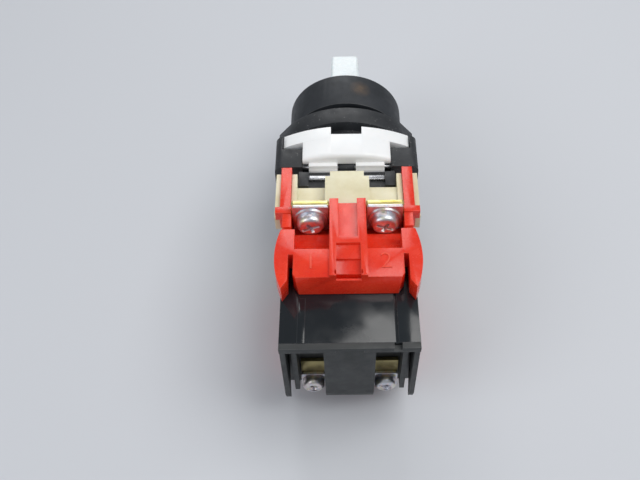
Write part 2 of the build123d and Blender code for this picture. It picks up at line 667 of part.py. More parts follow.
def terminal(side):
    """Bent terminal: upright plate under the screw, leg through the base, finger with a rivet."""
    inner = terminal_x - plate_w / 2
    with BuildPart() as piece:
        with BuildSketch(station(terminal_y + plate_t)):
            with Locations((side * terminal_x, (strip_bottom + plate_top) / 2)):
                Rectangle(plate_w, plate_top - strip_bottom)
        extrude(amount=plate_t)
        fillet(piece.edges().filter_by(Axis.Y).group_by(Axis.Z)[-1], radius=0.5)
        with BuildSketch(Plane.XY.offset(strip_bottom)):
            with Locations((side * (leg_inner + leg_outer) / 2, (finger_front + terminal_y) / 2)):
                Rectangle(leg_outer - leg_inner, terminal_y - finger_front)
        extrude(amount=strip_top_z - strip_bottom)
        with BuildSketch(station(finger_front + finger_t)):
            with Locations((side * contact_x, (finger_bottom + strip_top_z) / 2)):
                Rectangle(leg_outer - leg_inner, strip_top_z - finger_bottom)
        extrude(amount=finger_t)
        with BuildSketch(station(finger_front + finger_t + rivet_t)):
            with Locations((side * contact_x, bridge_z)):
                Circle(rivet_d / 2)
        extrude(amount=rivet_t)
        with BuildSketch(station(terminal_y + plate_t)):
            with Locations((side * terminal_x, terminal_z)):
                Circle(screw_d / 2 + seat_gap)
        extrude(amount=plate_t, mode=Mode.SUBTRACT)
    return piece.part


def pan_screw(x, z, seat_y, head_d, head_t, shank_d, shank_len):
    """Pan head screw with a cross recess; the head faces +Y and seats at seat_y."""
    with BuildPart() as screw:
        with BuildSketch(station(seat_y + head_t)):
            with Locations((x, z)):
                Circle(head_d / 2)
        extrude(amount=head_t)
        fillet(screw.edges().group_by(Axis.Y)[-1], radius=head_t * 0.45)
        with BuildSketch(station(seat_y)):
            with Locations((x, z)):
                Circle(shank_d / 2)
        extrude(amount=shank_len)
        with BuildSketch(station(seat_y + head_t)):
            with Locations((x, z)):
                Rectangle(head_d * 0.62, head_d * 0.14)
                Rectangle(head_d * 0.14, head_d * 0.62)
        extrude(amount=head_t * 0.6, mode=Mode.SUBTRACT)
    return screw.part


def square_washer(x, z, seat_y, width, thickness, hole_d, boss_t=0):
    """Square clamping washer that seats at seat_y, with a raised round boss under the screw head."""
    with BuildPart() as washer:
        with BuildSketch(station(seat_y + thickness)):
            with Locations((x, z)):
                RectangleRounded(width, width, 0.4)
        extrude(amount=thickness)
        if boss_t:
            with BuildSketch(station(seat_y + thickness + boss_t)):
                with Locations((x, z)):
                    Circle(width / 2 - 0.4)
            extrude(amount=boss_t)
        with BuildSketch(station(seat_y + thickness + boss_t)):
            with Locations((x, z)):
                Circle(hole_d / 2)
        extrude(amount=thickness + boss_t, mode=Mode.SUBTRACT)
    return washer.part


washer_seat = terminal_y + plate_t
screw_seat = washer_seat + washer_t + washer_boss_t
neck_rear = case_front - 0.4
root_inner, root_outer = max(wall_x, arm_x - arm_w / 2), arm_x + arm_w / 2
arm_bottom = channel_floor_z + channel_floor_t + seat_gap
petal_split = panel_front + 1.4
with BuildPart() as contact_cover:
    # Shelf, scoop and number panels in one side profile
    with BuildSketch(Plane.YZ):
        with BuildLine():
            Polyline(
                (scoop_y, scoop_z), (scoop_y, shelf_z), (washer_seat + 0.15, shelf_z),
                (washer_seat + 0.15, base_bottom), (case_front - 0.15, base_bottom),
                (case_front - 0.15, case_gap), (cover_rear, case_gap), (panel_rear, cover_top),
                (panel_front, cover_top),
            )
            ThreePointArc(
                (panel_front, cover_top),
                (scoop_y + 0.6 * scoop_rise_len, scoop_z + 0.22 * (cover_top - scoop_z)), (scoop_y, scoop_z),
            )
        make_face()
    extrude(amount=body_w / 2, both=True)
    # Bevelled rear corners
    with BuildSketch(Plane.XY.offset(case_gap)):
        for side in (-1, 1):
            with BuildLine():
                Polyline(
                    (side * (body_w / 2 + 1), cover_rear - 3.4), (side * (body_w / 2 + 1), cover_rear + 1),
                    (side * (body_w / 2 - 1.8), cover_rear + 1),
                    (side * (body_w / 2 + 1), cover_rear - 3.4),
                )
            make_face()
    extrude(amount=10, mode=Mode.SUBTRACT)
    # Steps, necks and arms beside the terminals
    for side in (-1, 1):
        with BuildSketch(Plane.XY.offset(base_bottom)):
            with Locations((side * (body_w / 2 + neck_x) / 2, (washer_seat + case_front) / 2)):
                Rectangle(neck_x - body_w / 2 + 0.2, case_front - washer_seat - 0.3)
        extrude(amount=shelf_z - base_bottom)
        with BuildSketch(Plane.XY.offset(base_bottom)):
            with Locations((side * (wall_x + neck_x) / 2, (base_rear + 0.1 + neck_rear) / 2)):
                Rectangle(neck_x - wall_x, neck_rear - base_rear - 0.1)
        extrude(amount=neck_top - base_bottom)
        with BuildSketch(Plane.XY.offset(step_bottom)):
            with Locations((side * (wall_x + step_x) / 2, base_rear + 0.1 + step_len / 2)):
                Rectangle(step_x - wall_x, step_len)
        extrude(amount=step_top - step_bottom)
        with BuildSketch(Plane.XY.offset(arm_bottom)):
            with Locations((side * arm_x, (arm_front + base_rear) / 2)):
                Rectangle(arm_w, base_rear - arm_front)
            with Locations((side * (root_inner + root_outer) / 2, base_rear + 0.2)):
                Rectangle(root_outer - root_inner, 0.6)
        extrude(amount=arm_top - arm_bottom)
        # Petal shaped finger guard, bowed outwards
        with BuildSketch(Plane.XY.offset(case_gap)):
            with BuildLine():
                outer = Spline(
                    (side * (neck_x + 0.1), petal_front),
                    (side * (neck_x + 0.9), petal_front + 0.2 * petal_len),
                    (side * (neck_x + 1.3), petal_front + 0.46 * petal_len),
                    (side * (neck_x + 0.8), petal_front + 0.77 * petal_len),
                    (side * (neck_x - 0.4), petal_front + petal_len),
                )
                Polyline(
                    outer @ 1, (side * (body_w / 2 + 1.15), petal_front + petal_len - 2.0),
                    (side * (body_w / 2 + 1.15), petal_split), (side * (body_w / 2 - 0.15), petal_split),
                    (side * (body_w / 2 - 0.15), petal_front), outer @ 0,
                )
            make_face()
        extrude(amount=cover_top - case_gap)
    # Tower between the terminals: two ridges beside a sunk groove, and the release pocket
    with BuildSketch(Plane.XY.offset(base_top + 0.05)):
        with Locations((0, (tower_front + panel_rear) / 2)):
            Rectangle(tower_w, panel_rear - tower_front)
    extrude(amount=ridge_top - base_top - 0.05)
    with BuildSketch(Plane.XY.offset(shelf_z - 0.4)):
        with Locations((0, (washer_seat + 0.15 + scoop_y) / 2)):
            Rectangle(tower_w, scoop_y - washer_seat - 0.15)
    extrude(amount=base_top - shelf_z + 0.6)
    with BuildSketch(Plane.XY.offset(ridge_top)):
        with Locations((0, (tower_front + groove_rear) / 2)):
            Rectangle(groove_w, groove_rear - tower_front)
    extrude(amount=-groove_depth, mode=Mode.SUBTRACT)
    with BuildSketch(Plane.XY.offset(ridge_top)):
        with Locations((0, (pocket_front + cover_rear) / 2)):
            Rectangle(pocket_w, cover_rear - pocket_front)
    extrude(amount=-pocket_depth, mode=Mode.SUBTRACT)
    with BuildSketch(Plane.XY.offset(ridge_top)):
        with Locations((0, (pocket_step + cover_rear) / 2)):
            Rectangle(pocket_w, cover_rear - pocket_step)
    extrude(amount=-pocket_step_depth, mode=Mode.SUBTRACT)
    # Slot across the foot of the release pocket
    with BuildSketch(Plane.XY.offset(ridge_top)):
        with Locations((0, panel_rear - 0.9)):
            Rectangle(slot_w, slot_len)
    extrude(amount=-slot_depth, mode=Mode.SUBTRACT)
    # Cored underside of both number panels
    with BuildSketch(Plane.XY.offset(case_gap)):
        for side in (-1, 1):
            with Locations((side * (tower_w + body_w) / 4, (panel_front + panel_rear) / 2)):
                Rectangle(core_out_w, core_out_len)
    extrude(amount=cover_top - case_gap - core_out_wall, mode=Mode.SUBTRACT)

spring_r = spring_d / 2
with BuildPart() as plunger:
    with BuildSketch(station(plunger_rear)):
        with Locations((0, (plunger_bottom + plunger_top) / 2)):
            Rectangle(plunger_w, plunger_top - plunger_bottom)
    extrude(amount=plunger_rear - plunger_front)
    with BuildSketch(station(plunger_rear)):
        with Locations((0, (plunger_bottom + riser_top) / 2)):
            Rectangle(plunger_w, riser_top - plunger_bottom)
    extrude(amount=plunger_rear - riser_front)
    # Round nose on the face cam
    with BuildSketch(Plane.XY.offset(nose_z - nose_t / 2)):
        nose_front = cam_y + nose_play
        with Locations((0, nose_front + nose_w / 2)):
            Circle(nose_w / 2)
        with Locations((0, (nose_front + nose_w / 2 + plunger_front + 0.2) / 2)):
            Rectangle(nose_w, plunger_front + 0.2 - nose_front - nose_w / 2)
    extrude(amount=nose_t)
    # Window of the bridge, and the spring bore
    with BuildSketch(station(bridge_y + bridge_t + bridge_slot)):
        with Locations((0, bridge_z)):
            Rectangle(plunger_w + 1, bridge_h + 0.1)
    extrude(amount=bridge_t + 2 * bridge_slot, mode=Mode.SUBTRACT)
    with BuildSketch(station(plunger_rear)):
        with Locations((0, spring_z)):
            Circle(spring_r + 0.15)
    extrude(amount=plunger_rear - spring_front, mode=Mode.SUBTRACT)

with BuildPart() as contact_bridge:
    with BuildSketch(station(bridge_y + bridge_t)):
        with Locations((0, bridge_z)):
            RectangleRounded(bridge_w, bridge_h, 0.6)
    extrude(amount=bridge_t)
    with BuildSketch(station(bridge_y)):
        with Locations((-contact_x, bridge_z), (contact_x, bridge_z)):
            Circle(contact_d / 2)
    extrude(amount=bridge_y - finger_front - finger_t - rivet_t - contact_gap)

plunger_spring = coil(
    spring_wire, spring_d, spring_front + seat_gap, cavity_rear - seat_gap, spring_turns, spring_z
)


def two(make, x, *sizes):
    """Two equal pieces, left and right, in one group."""
    return Compound(children=[make(-x, *sizes), make(x, *sizes)])


upper = {
    "contact_base": contact_base.part,
    "contact_cover": contact_cover.part,
    "plunger": plunger.part,
    "contact_bridge": contact_bridge.part,
    "plunger_spring": plunger_spring,
    "terminal_1": terminal(1),
    "terminal_2": terminal(-1),
    "terminal_screws": two(
        pan_screw, terminal_x, terminal_z, screw_seat, screw_head_d, screw_head_t, screw_d, screw_len
    ),
    "terminal_washers": two(
        square_washer, terminal_x, terminal_z, washer_seat, washer_w, washer_t, screw_d + 0.3, washer_boss_t
    ),
}
for name, piece in upper.items():
    save(piece, f"upper_{name}")
    # The lower block is the same block turned half round the switch axis
    save(Rot(0, 180, 0) * piece, f"lower_{name}")

# ---- Transformer unit -------------------------------------------------------------------
inner_w, inner_h = case_w - 2 * case_wall, case_h - 2 * case_wall
with BuildPart() as transformer_case:
    with BuildSketch(station(case_side_rear)):
        Rectangle(case_w, case_h)
    extrude(amount=case_side_rear - case_front)
    with BuildSketch(station(case_side_rear)):
        Rectangle(inner_w, inner_h)
    extrude(amount=case_side_rear - case_front - case_wall, mode=Mode.SUBTRACT)
    # Roof over the terminal bay
    with BuildSketch(station(case_rear)):
        with Locations((0, case_top - case_wall / 2)):
            Rectangle(case_w, case_wall)
    extrude(amount=case_rear - case_side_rear)
    with BuildSketch(station(case_front + case_wall)):
        Circle(socket_d / 2 + seat_gap)
    extrude(amount=case_wall, mode=Mode.SUBTRACT)
    # Raised strip and sunk groove on the roof
    with BuildSketch(Plane.XY.offset(case_top)):
        with Locations((roof_strip_x, (cover_rear + 1 + case_rear) / 2)):
            Rectangle(roof_strip_w, case_rear - cover_rear - 1)
    extrude(amount=roof_strip_t)
    with BuildSketch(Plane.XY.offset(case_top)):
        with Locations((-roof_groove_x, (case_front + case_rear) / 2)):
            Rectangle(roof_groove_w, case_rear - case_front)
    extrude(amount=-roof_groove_t, mode=Mode.SUBTRACT)
save(transformer_case.part, "transformer_case")

rear_seat = bay_wall_rear + rear_plate_t
with BuildPart() as terminal_frame:
    # Wall behind the case, with its spigot
    with BuildSketch(station(bay_wall_rear)):
        with Locations((0, -case_wall / 2)):
            Rectangle(case_w, case_h - case_wall)
    extrude(amount=bay_wall_rear - case_side_rear)
    with BuildSketch(station(case_side_rear)):
        Rectangle(inner_w - 2 * seat_gap, inner_h - 2 * seat_gap)
        Rectangle(inner_w - 2.4, inner_h - 2.4, mode=Mode.SUBTRACT)
    extrude(amount=spigot_len)
    # Lip with its notches, on a web below the roof
    with BuildSketch(station(lip_rear)):
        with Locations((0, case_top - lip_h / 2)):
            Rectangle(case_w, lip_h)
    extrude(amount=lip_rear - case_rear)
    with BuildSketch(station(case_rear)):
        with Locations((0, case_top - (case_wall + lip_h) / 2)):
            Rectangle(case_w, lip_h - case_wall)
    extrude(amount=case_rear - bay_wall_rear)
    with BuildSketch(station(lip_rear)):
        with Locations((0, case_top - lip_h)):
            Rectangle(lip_slot_w, lip_slot_h)
        with Locations((-roof_groove_x - 0.2, case_top)):
            Rectangle(lip_notch_w, lip_notch_h)
    extrude(amount=lip_rear - case_rear, mode=Mode.SUBTRACT)
    # Centre barrier with a chamfered foot
    lip_bottom = case_top - lip_h
    barrier_rear = lip_rear - barrier_setback
    with BuildSketch(Plane.YZ):
        with BuildLine():
            Polyline(
                (bay_wall_rear, lip_bottom), (barrier_rear, lip_bottom),
                (barrier_rear, barrier_bottom + 3 * barrier_foot),
                (barrier_rear - barrier_foot, barrier_bottom), (bay_wall_rear, barrier_bottom),
                (bay_wall_rear, lip_bottom),
            )
        make_face()
    extrude(amount=barrier_w / 2, both=True)
    for side in (-1, 1):
        # Rib beside the terminal
        with BuildSketch(station(lip_rear - rib_setback)):
            with Locations((side * (rib_x + rib_t / 2), (lip_bottom + rib_bottom) / 2)):
                Rectangle(rib_t, lip_bottom - rib_bottom)
        extrude(amount=lip_rear - rib_setback - bay_wall_rear)
        # Thin pointed side wing
        with BuildSketch(Plane.YZ.offset(side * (wing_inner_x + wing_t / 2))):
            with BuildLine():
                Polyline(
                    (bay_wall_rear, lip_bottom), (lip_rear - wing_setback, lip_bottom),
                    (lip_rear - wing_setback, wing_bottom + 3.5),
                    (lip_rear - 3 * wing_setback, wing_bottom), (bay_wall_rear, wing_root),
                    (bay_wall_rear, lip_bottom),
                )
            make_face()
        extrude(amount=wing_t / 2, both=True)
    # Holes for the terminal screws
    with BuildSketch(station(bay_wall_rear)):
        with Locations((-rear_x, rear_z), (rear_x, rear_z)):
            Circle(rear_screw_d / 2 + seat_gap)
    extrude(amount=bay_wall_rear - case_side_rear + 0.1, mode=Mode.SUBTRACT)
save(terminal_frame.part, "terminal_frame")


def rear_plate(x):
    """Brass plate of a transformer terminal, flat on the bay wall."""
    with BuildPart() as plate:
        with BuildSketch(station(rear_seat)):
            with Locations((x, (rear_plate_bottom + rear_plate_top) / 2)):
                Rectangle(rear_plate_w, rear_plate_top - rear_plate_bottom)
            with Locations((x, rear_z)):
                Circle(rear_screw_d / 2 + seat_gap, mode=Mode.SUBTRACT)
        extrude(amount=rear_plate_t)
    return plate.part


save(rear_plate(rear_x), "rear_terminal_left")
save(rear_plate(-rear_x), "rear_terminal_right")
save(
    two(square_washer, rear_x, rear_z, rear_seat, rear_washer_w, rear_washer_t, rear_screw_d + 0.3),
    "rear_terminal_washers",
)
save(
    two(
        pan_screw, rear_x, rear_z, rear_seat + rear_washer_t, rear_head_d, rear_head_t, rear_screw_d,
        rear_screw_len,
    ),
    "rear_terminal_screws",
)

core_front = case_front + case_wall + 3.5
core_rear = core_front + core_len
window_w = (core_w - 3 * leg_w / 1.5) / 2
with BuildPart() as core:
    with BuildSketch(station(core_rear)):
        Rectangle(core_w, core_h)
        for side in (-1, 1):
            with Locations((side * (leg_w / 2 + window_w / 2), 0)):
                Rectangle(window_w, core_h - 8.0, mode=Mode.SUBTRACT)
    extrude(amount=core_len)
save(core.part, "core")

tube_w, tube_d, flange_t = 2 * (leg_w / 2 + 0.9), core_len + 1.8, 0.9
wind_h = core_h - 8.0 - 0.2
with BuildPart() as bobbin:
    with BuildSketch(Plane.XY):
        with Locations((0, (core_front + core_rear) / 2)):
            Rectangle(tube_w, tube_d)
    extrude(amount=wind_h / 2, both=True)
    for low in (-wind_h / 2, -flange_t / 2, wind_h / 2 - flange_t):
        with BuildSketch(Plane.XY.offset(low)):
            with Locations((0, (core_front + core_rear) / 2)):
                Rectangle(leg_w + 2 * window_w - 0.3, core_len + 5.4)
        extrude(amount=flange_t)
    with BuildSketch(Plane.XY):
        with Locations((0, (core_front + core_rear) / 2)):
            Rectangle(leg_w + 2 * seat_gap, core_len + 2 * seat_gap)
    extrude(amount=wind_h, both=True, mode=Mode.SUBTRACT)
save(bobbin.part, "bobbin")


def winding(low, high):
    """Copper winding on the bobbin between two heights."""
    with BuildPart() as copper:
        with BuildSketch(Plane.XY.offset(low)):
            with Locations((0, (core_front + core_rear) / 2)):
                RectangleRounded(leg_w + 2 * window_w - 1.0, core_len + 4.6, 1.2)
                Rectangle(tube_w + 2 * seat_gap, tube_d + 2 * seat_gap, mode=Mode.SUBTRACT)
        extrude(amount=high - low)
    return copper.part


save(winding(flange_t / 2 + seat_gap, wind_h / 2 - flange_t - seat_gap), "primary_winding")
save(winding(-wind_h / 2 + flange_t + seat_gap, -flange_t / 2 - seat_gap), "secondary_winding")
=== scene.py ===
import json
from math import cos, pi, radians, sin

import bpy
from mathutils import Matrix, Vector

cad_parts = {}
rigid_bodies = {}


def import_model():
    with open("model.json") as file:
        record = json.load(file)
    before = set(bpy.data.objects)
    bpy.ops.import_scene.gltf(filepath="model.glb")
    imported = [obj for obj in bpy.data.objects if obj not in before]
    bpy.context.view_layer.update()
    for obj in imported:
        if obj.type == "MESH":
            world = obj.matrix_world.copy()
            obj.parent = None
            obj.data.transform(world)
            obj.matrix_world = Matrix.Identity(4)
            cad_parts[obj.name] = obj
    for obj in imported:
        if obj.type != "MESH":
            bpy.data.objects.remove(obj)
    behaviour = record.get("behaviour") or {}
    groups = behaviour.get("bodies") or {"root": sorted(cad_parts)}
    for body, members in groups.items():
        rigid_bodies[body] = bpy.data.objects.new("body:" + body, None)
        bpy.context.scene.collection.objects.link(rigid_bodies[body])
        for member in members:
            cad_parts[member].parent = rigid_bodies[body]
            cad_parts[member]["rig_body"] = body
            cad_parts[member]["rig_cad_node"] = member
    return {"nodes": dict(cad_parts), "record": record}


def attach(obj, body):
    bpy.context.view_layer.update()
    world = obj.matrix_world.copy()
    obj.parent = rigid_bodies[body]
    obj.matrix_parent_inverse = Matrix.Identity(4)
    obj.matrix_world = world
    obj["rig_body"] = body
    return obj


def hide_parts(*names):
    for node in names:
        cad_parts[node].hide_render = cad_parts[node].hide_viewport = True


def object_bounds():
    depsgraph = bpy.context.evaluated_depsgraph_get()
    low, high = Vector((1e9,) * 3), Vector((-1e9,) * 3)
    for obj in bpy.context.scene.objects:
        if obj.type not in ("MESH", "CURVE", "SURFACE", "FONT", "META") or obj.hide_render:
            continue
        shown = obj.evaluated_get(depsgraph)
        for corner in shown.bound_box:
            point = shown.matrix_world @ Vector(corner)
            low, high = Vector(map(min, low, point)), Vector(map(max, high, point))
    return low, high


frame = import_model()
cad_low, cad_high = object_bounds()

MM = 0.001

# --- Bench, camera and studio lights --------------------------------------------------------
# The switch lies on a plain pale bench on its lower contact block, with its terminals towards
# the viewer. The camera looks down on it from behind, and three soft boxes light it evenly.
bench_z = cad_low.z - 0.02 * MM
bpy.ops.object.select_all(action="DESELECT")
bpy.ops.mesh.primitive_plane_add(size=3.0, location=(0, 0, bench_z))
bench = bpy.context.object
bench.name = "bench"
bench_paint = bpy.data.materials.new("bench_paint")
bench_paint.use_nodes = True
bench_shader = bench_paint.node_tree.nodes["Principled BSDF"]
bench_shader.inputs["Base Color"].default_value = (0.62, 0.64, 0.68, 1)
bench_shader.inputs["Roughness"].default_value = 0.8
bench.data.materials.append(bench_paint)

camera_data = bpy.data.cameras.new("camera")
camera_data.sensor_width = 36.0
camera_data.lens = 42.19
camera_data.shift_x = -0.0466
camera_data.clip_start = 0.005
camera = bpy.data.objects.new("camera", camera_data)
bpy.context.scene.collection.objects.link(camera)
camera.location = Vector((1.17, 146.2, 152.5)) * MM
view_pitch, view_yaw = radians(53.464), radians(0.887)
sight = Vector((-sin(view_yaw) * cos(view_pitch), -cos(view_yaw) * cos(view_pitch), -sin(view_pitch)))
camera.rotation_mode = "QUATERNION"
camera.rotation_quaternion = sight.to_track_quat("-Z", "Y")
bpy.context.scene.camera = camera
bpy.context.scene.view_settings.view_transform = "Standard"


def soft_box(name, place, aim, size, power, tint=(1, 1, 1)):
    """A square studio light at place that looks at aim, both in millimetres."""
    lamp = bpy.data.lights.new(name, "AREA")
    lamp.shape = "SQUARE"
    lamp.size = size * MM
    lamp.energy = power
    lamp.color = tint
    holder = bpy.data.objects.new(name, lamp)
    bpy.context.scene.collection.objects.link(holder)
    holder.location = Vector(place) * MM
    holder.rotation_mode = "QUATERNION"
    holder.rotation_quaternion = (Vector(aim) - Vector(place)).to_track_quat("-Z", "Y")


soft_box("key_light", (-220, 60, 460), (0, 25, 0), 340, 1.55, (1.0, 0.99, 0.97))
soft_box("fill_light", (340, 260, 300), (0, 25, 0), 300, 0.7, (0.96, 0.98, 1.0))
soft_box("back_light", (40, -420, 320), (0, 20, 0), 300, 0.8)
studio = bpy.data.worlds.new("studio")
studio.use_nodes = True
studio.node_tree.nodes["Background"].inputs["Color"].default_value = (0.92, 0.95, 1.0, 1)
studio.node_tree.nodes["Background"].inputs["Strength"].default_value = 0.27
bpy.context.scene.world = studio

# --- Operator body --------------------------------------------------------------------------
# Bezel and threaded neck are one moulding in black glass-filled nylon with a fine matte skin.
# It drops through the panel hole from the front. Its broken edges are painted a lighter grey as a
# highlight, and a thumb has left a brown mark on the rim of the bezel.
bodies = frame["record"]["behaviour"]["bodies"]
body_of = {node: body for body, nodes in bodies.items() for node in nodes}


def wire_up(tree, *links):
    """Link (node, output) to (node, input) pairs in the order given."""
    for (source, output), (target, port) in links:
        tree.links.new(source.outputs[output], target.inputs[port])


def noise(tree, scale, detail=4.0, roughness=0.55, distortion=0.0):
    """A noise texture in the piece's own coordinates; scale is in waves a metre."""
    place = tree.nodes.new("ShaderNodeTexCoord")
    texture = tree.nodes.new("ShaderNodeTexNoise")
    texture.inputs["Scale"].default_value = scale
    texture.inputs["Detail"].default_value = detail
    texture.inputs["Roughness"].default_value = roughness
    texture.inputs["Distortion"].default_value = distortion
    wire_up(tree, ((place, "Object"), (texture, "Vector")))
    return texture


def tones(tree, texture, *stops):
    """A colour ramp over a texture; each stop is its place and its colour."""
    ramp = tree.nodes.new("ShaderNodeValToRGB")
    ramp.color_ramp.elements[0].position, ramp.color_ramp.elements[0].color = stops[0][0], (*stops[0][1], 1)
    ramp.color_ramp.elements[1].position, ramp.color_ramp.elements[1].color = stops[1][0], (*stops[1][1], 1)
    for place, colour in stops[2:]:
        ramp.color_ramp.elements.new(place).color = (*colour, 1)
    wire_up(tree, ((texture, "Fac"), (ramp, "Fac")))
    return ramp


def moulded_plastic(name, dark, light, gloss, grain=0.02, cloud=110.0, glow=0.0, glow_tint=(1, 1, 1)):
    """Moulded plastic: cloudy tone, uneven gloss and spark-eroded grain of the depth given in mm."""
    material = bpy.data.materials.new(name)
    material.use_nodes = True
    tree = material.node_tree
    shader = tree.nodes["Principled BSDF"]
    tone = tones(tree, noise(tree, cloud, 6.0, 0.62), (0.34, dark), (0.68, light))
    rub = tree.nodes.new("ShaderNodeMapRange")
    rub.inputs["From Min"].default_value = 0.32
    rub.inputs["From Max"].default_value = 0.7
    rub.inputs["To Min"].default_value, rub.inputs["To Max"].default_value = gloss
    skin = tree.nodes.new("ShaderNodeBump")
    skin.inputs["Strength"].default_value = 0.55
    skin.inputs["Distance"].default_value = grain * MM
    wire_up(
        tree,
        ((tone, "Color"), (shader, "Base Color")),
        ((noise(tree, cloud * 4.3, 5.0), "Fac"), (rub, "Value")),
        ((rub, "Result"), (shader, "Roughness")),
        ((noise(tree, 3600.0, 2.0), "Fac"), (skin, "Height")),
        ((skin, "Normal"), (shader, "Normal")),
    )
    if glow:
        shader.inputs["Subsurface Weight"].default_value = glow
        shader.inputs["Subsurface Radius"].default_value = glow_tint
        shader.inputs["Subsurface Scale"].default_value = 1.1 * MM
    return material


def finish_piece(piece, node, materials):
    """Give a finished piece its materials and its body, and hide the CAD node that it stands for."""
    piece.data.materials.clear()
    for material in materials:
        piece.data.materials.append(material)
    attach(piece, body_of[node])
    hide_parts(node)
    return piece


def deburred(node, edge, materials, segments=2, sharp=38.0):
    """A finished copy of a CAD node, its loose triangles merged and each sharp edge broken by edge mm.

    A second material, where given, is a painted highlight along the broken edges.
    """
    source = frame["nodes"][node]
    piece = source.copy()
    piece.data = source.data.copy()
    piece.name = node + "_finished"
    piece.parent = None
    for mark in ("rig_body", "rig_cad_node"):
        if mark in piece:
            del piece[mark]
    bpy.context.scene.collection.objects.link(piece)
    bpy.ops.object.select_all(action="DESELECT")
    piece.select_set(True)
    bpy.context.view_layer.objects.active = piece
    bpy.ops.object.mode_set(mode="EDIT")
    bpy.ops.mesh.select_all(action="SELECT")
    bpy.ops.mesh.remove_doubles(threshold=0.002 * MM)
    bpy.ops.mesh.dissolve_limited(angle_limit=radians(1.0))
    bpy.ops.object.mode_set(mode="OBJECT")
    finish_piece(piece, node, materials)
    for face in piece.data.polygons:
        face.material_index = 0
    if edge:
        rounding = piece.modifiers.new("rounding", "BEVEL")
        rounding.width = edge * MM
        rounding.segments = segments
        rounding.limit_method = "ANGLE"
        rounding.angle_limit = radians(sharp)
        # The broken edges take the last material, the painted highlight where one is given.
        rounding.material = len(materials) - 1
        bpy.ops.object.modifier_apply(modifier="rounding")
    bpy.ops.object.shade_smooth_by_angle(angle=radians(32))
    return piece


bezel_nylon = moulded_plastic(
    "bezel_nylon", (0.013, 0.016, 0.020), (0.026, 0.030, 0.037), (0.48, 0.64), 0.04
)
# Lighter grey for the broken edges of the bezel and ring nut: a painted highlight.
bezel_edge_highlight = moulded_plastic(
    "bezel_edge_highlight", (0.035, 0.038, 0.042), (0.075, 0.077, 0.08), (0.45, 0.6), 0.02
)
thumb_mark = bezel_nylon.node_tree
mark_place = thumb_mark.nodes.new("ShaderNodeTexCoord")
mark_reach = thumb_mark.nodes.new("ShaderNodeVectorMath")
mark_reach.operation = "DISTANCE"
mark_reach.inputs[1].default_value = (-4.0 * MM, -6.2 * MM, 15.0 * MM)
mark_edge = thumb_mark.nodes.new("ShaderNodeMapRange")
mark_edge.inputs["From Min"].default_value = 3.2 * MM
mark_edge.inputs["From Max"].default_value = 0.6 * MM
mark_grain = thumb_mark.nodes.new("ShaderNodeMath")
mark_grain.operation = "MULTIPLY"
mark_mix = thumb_mark.nodes.new("ShaderNodeMix")
mark_mix.data_type = "RGBA"
mark_mix.inputs["B"].default_value = (0.13, 0.085, 0.05, 1)
plain_tone = thumb_mark.nodes["Principled BSDF"].inputs["Base Color"].links[0].from_node
wire_up(
    thumb_mark,
    ((mark_place, "Object"), (mark_reach, "Vector")),
    ((mark_reach, "Value"), (mark_edge, "Value")),
    ((mark_edge, "Result"), (mark_grain, 0)),
    ((noise(thumb_mark, 700.0, 3.0), "Fac"), (mark_grain, 1)),
    ((mark_grain, "Value"), (mark_mix, "Factor")),
    ((plain_tone, "Color"), (mark_mix, "A")),
    ((mark_mix, "Result"), (thumb_mark.nodes["Principled BSDF"], "Base Color")),
)
deburred("operator_body", 0.12, [bezel_nylon, bezel_edge_highlight])

# --- Panel gasket ---------------------------------------------------------------------------
# A flat ring of black rubber in the back face of the bezel. It stands a little proud, and the
# panel presses it flat when the ring nut is tightened.
seal_rubber = moulded_plastic(
    "seal_rubber", (0.010, 0.010, 0.010), (0.020, 0.020, 0.021), (0.72, 0.88), 0.012
)
deburred("panel_gasket", 0.12, [seal_rubber])

# --- Ring nut -------------------------------------------------------------------------------
# The nut that clamps the panel is moulded in the same black nylon as the bezel. It is fluted
# for the fitting spanner and sits inside the front of the adaptor.
deburred("ring_nut", 0.14, [bezel_nylon, bezel_edge_highlight])

# --- Rotor, its seal, click spring and clip -------------------------------------------------
# The rotor is a black acetal sleeve that turns in the neck on a rubber ring. A spring steel
# band clicks into the race of the bezel, and a steel clip holds the rotor from behind.
rotor_acetal = moulded_plastic(
    "rotor_acetal", (0.014, 0.015, 0.017), (0.024, 0.026, 0.029), (0.3, 0.42), 0.006
)
deburred("knob_rotor", 0.08, [rotor_acetal])
deburred("rotor_seal", 0, [seal_rubber])


def polished_metal(name, tint_stops, gloss, cloud=300.0, brush=0.004, stretch=1.0):
    """Bare or plated metal: drifting tint, uneven polish and fine tool marks brush mm deep."""
    material = bpy.data.materials.new(name)
    material.use_nodes = True
    tree = material.node_tree
    shader = tree.nodes["Principled BSDF"]
    shader.inputs["Metallic"].default_value = 1.0
    tone = tones(tree, noise(tree, cloud, 5.0, 0.6, 0.6), *tint_stops)
    polish = tree.nodes.new("ShaderNodeMapRange")
    polish.inputs["From Min"].default_value, polish.inputs["From Max"].default_value = 0.3, 0.7
    polish.inputs["To Min"].default_value, polish.inputs["To Max"].default_value = gloss
    lines = noise(tree, 5200.0, 3.0)
    along = tree.nodes.new("ShaderNodeMapping")
    along.inputs["Scale"].default_value = (stretch, 1.0, 1.0)
    own_place = lines.inputs["Vector"].links[0].from_node
    marks = tree.nodes.new("ShaderNodeBump")
    marks.inputs["Strength"].default_value = 0.4
    marks.inputs["Distance"].default_value = brush * MM
    wire_up(
        tree,
        ((own_place, "Object"), (along, "Vector")),
        ((along, "Vector"), (lines, "Vector")),
        ((tone, "Color"), (shader, "Base Color")),
        ((noise(tree, cloud * 3, 4.0), "Fac"), (polish, "Value")),
        ((polish, "Result"), (shader, "Roughness")),
        ((lines, "Fac"), (marks, "Height")),
        ((marks, "Normal"), (shader, "Normal")),
    )
    return material


